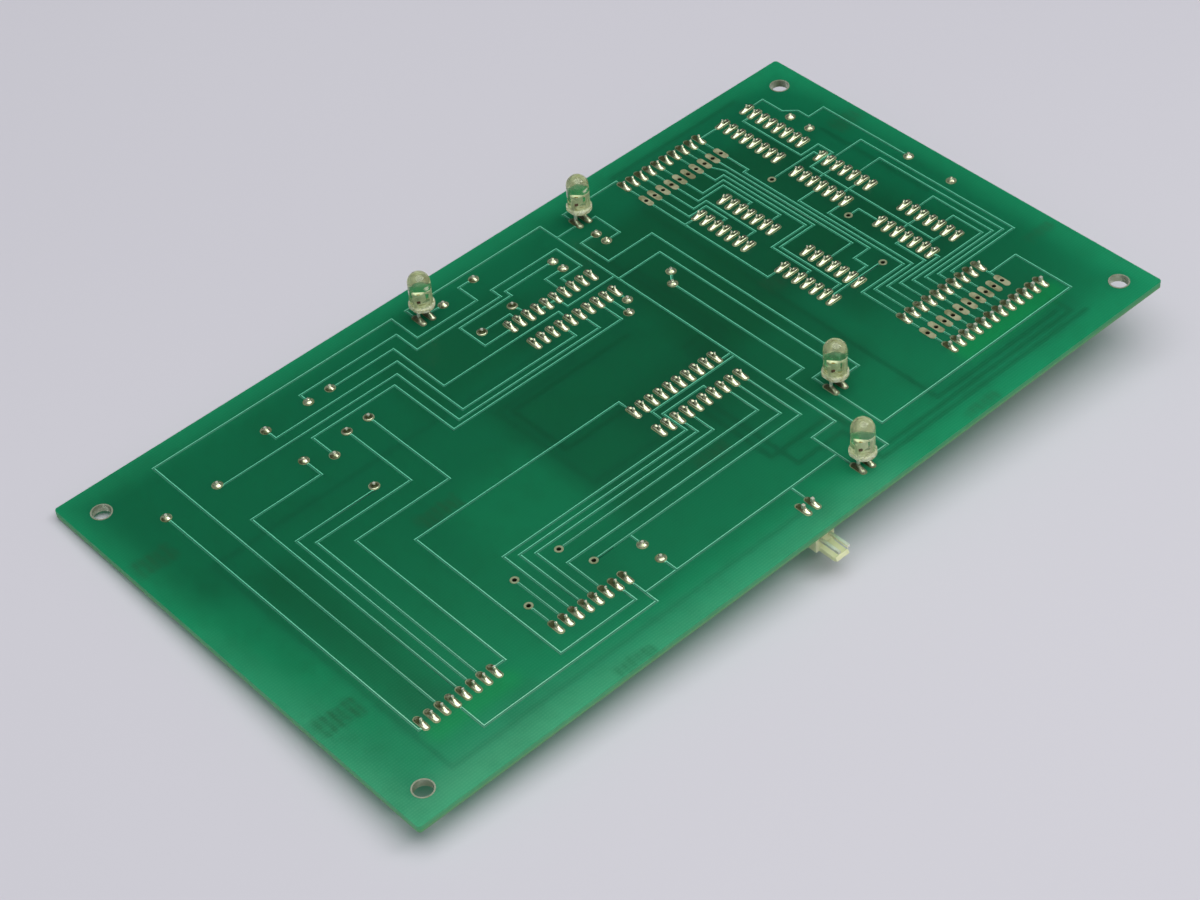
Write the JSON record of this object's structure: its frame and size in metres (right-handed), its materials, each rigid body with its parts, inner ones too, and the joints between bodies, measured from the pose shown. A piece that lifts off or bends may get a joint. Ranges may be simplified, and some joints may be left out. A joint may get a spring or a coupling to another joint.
{
  "type": "display circuit board",
  "caption": "Two-sided green circuit board with clear indicator lamps standing on its solder side and chips, resistor networks, resistors and plug headers on its component side.",
  "frame": {"origin": "middle of the four mounting holes, on the solder face of the laminate", "axes": "+Z out of the solder face, on which the lamps stand; +X along the long edge towards the crowded end; +Y towards the long edge with the two outer lamps"},
  "size_m": [0.2032, 0.1174, 0.0255],
  "materials": {
    "masked_laminate": "green solder mask over glass-fibre laminate",
    "masked_tracks": "tinned copper under green solder mask",
    "tinned_copper": "tinned copper pads and plated holes",
    "bare_pads": "dull tinned pads with open holes",
    "chip_plastic": "black moulded epoxy",
    "tinned_leads": "tinned leads, pins and wires",
    "network_coating": "dipped brown coating",
    "nylon": "natural nylon",
    "resistor_coat": "tan lacquer",
    "disc_coating": "dipped ceramic coating",
    "bead_coating": "dipped resin",
    "clear_epoxy": "clear epoxy, slightly yellowed",
    "lamp_die": "semiconductor die",
    "lamp_chip": "dark red chip inside the lamp",
    "solder": "bright solder"
  },
  "bodies": {
    "root": {"board_laminate": "masked_laminate", "plated_mounting_holes": "tinned_copper", "solder_side_tracks": "masked_tracks", "component_side_tracks": "masked_tracks", "chip_pads": "tinned_copper", "row_pads": "tinned_copper", "open_row_pads": "bare_pads", "wire_pads": "tinned_copper", "through_hole_links": "bare_pads", "driver_1_body": "chip_plastic", "driver_1_pins": "tinned_leads", "driver_2_body": "chip_plastic", "driver_2_pins": "tinned_leads", "counter_body": "chip_plastic", "counter_pins": "tinned_leads", "logic_1_body": "chip_plastic", "logic_1_pins": "tinned_leads", "logic_2_body": "chip_plastic", "logic_2_pins": "tinned_leads", "logic_3_body": "chip_plastic", "logic_3_pins": "tinned_leads", "logic_4_body": "chip_plastic", "logic_4_pins": "tinned_leads", "network_1_body": "network_coating", "network_1_pins": "tinned_leads", "network_2_body": "network_coating", "network_2_pins": "tinned_leads", "network_3_body": "network_coating", "network_3_pins": "tinned_leads", "network_4_body": "network_coating", "network_4_pins": "tinned_leads", "plug_header_base": "nylon", "plug_header_pins": "tinned_leads", "edge_header_base": "nylon", "edge_header_pins": "tinned_leads", "resistor_bodies": "resistor_coat", "resistor_wires": "tinned_leads", "disc_capacitor": "disc_coating", "disc_capacitor_wires": "tinned_leads", "bead_capacitor": "bead_coating", "bead_capacitor_wires": "tinned_leads", "lamp_1_lens": "clear_epoxy", "lamp_1_leads": "tinned_leads", "lamp_2_lens": "clear_epoxy", "lamp_2_leads": "tinned_leads", "lamp_3_lens": "clear_epoxy", "lamp_3_leads": "tinned_leads", "lamp_4_lens": "clear_epoxy", "lamp_4_leads": "tinned_leads", "lamp_dies": "lamp_die", "lamp_chips": "lamp_chip", "chip_solder": "solder", "row_solder": "solder", "header_solder": "solder", "resistor_solder": "solder", "capacitor_solder": "solder", "lamp_solder": "solder"}
  },
  "joints": []
}
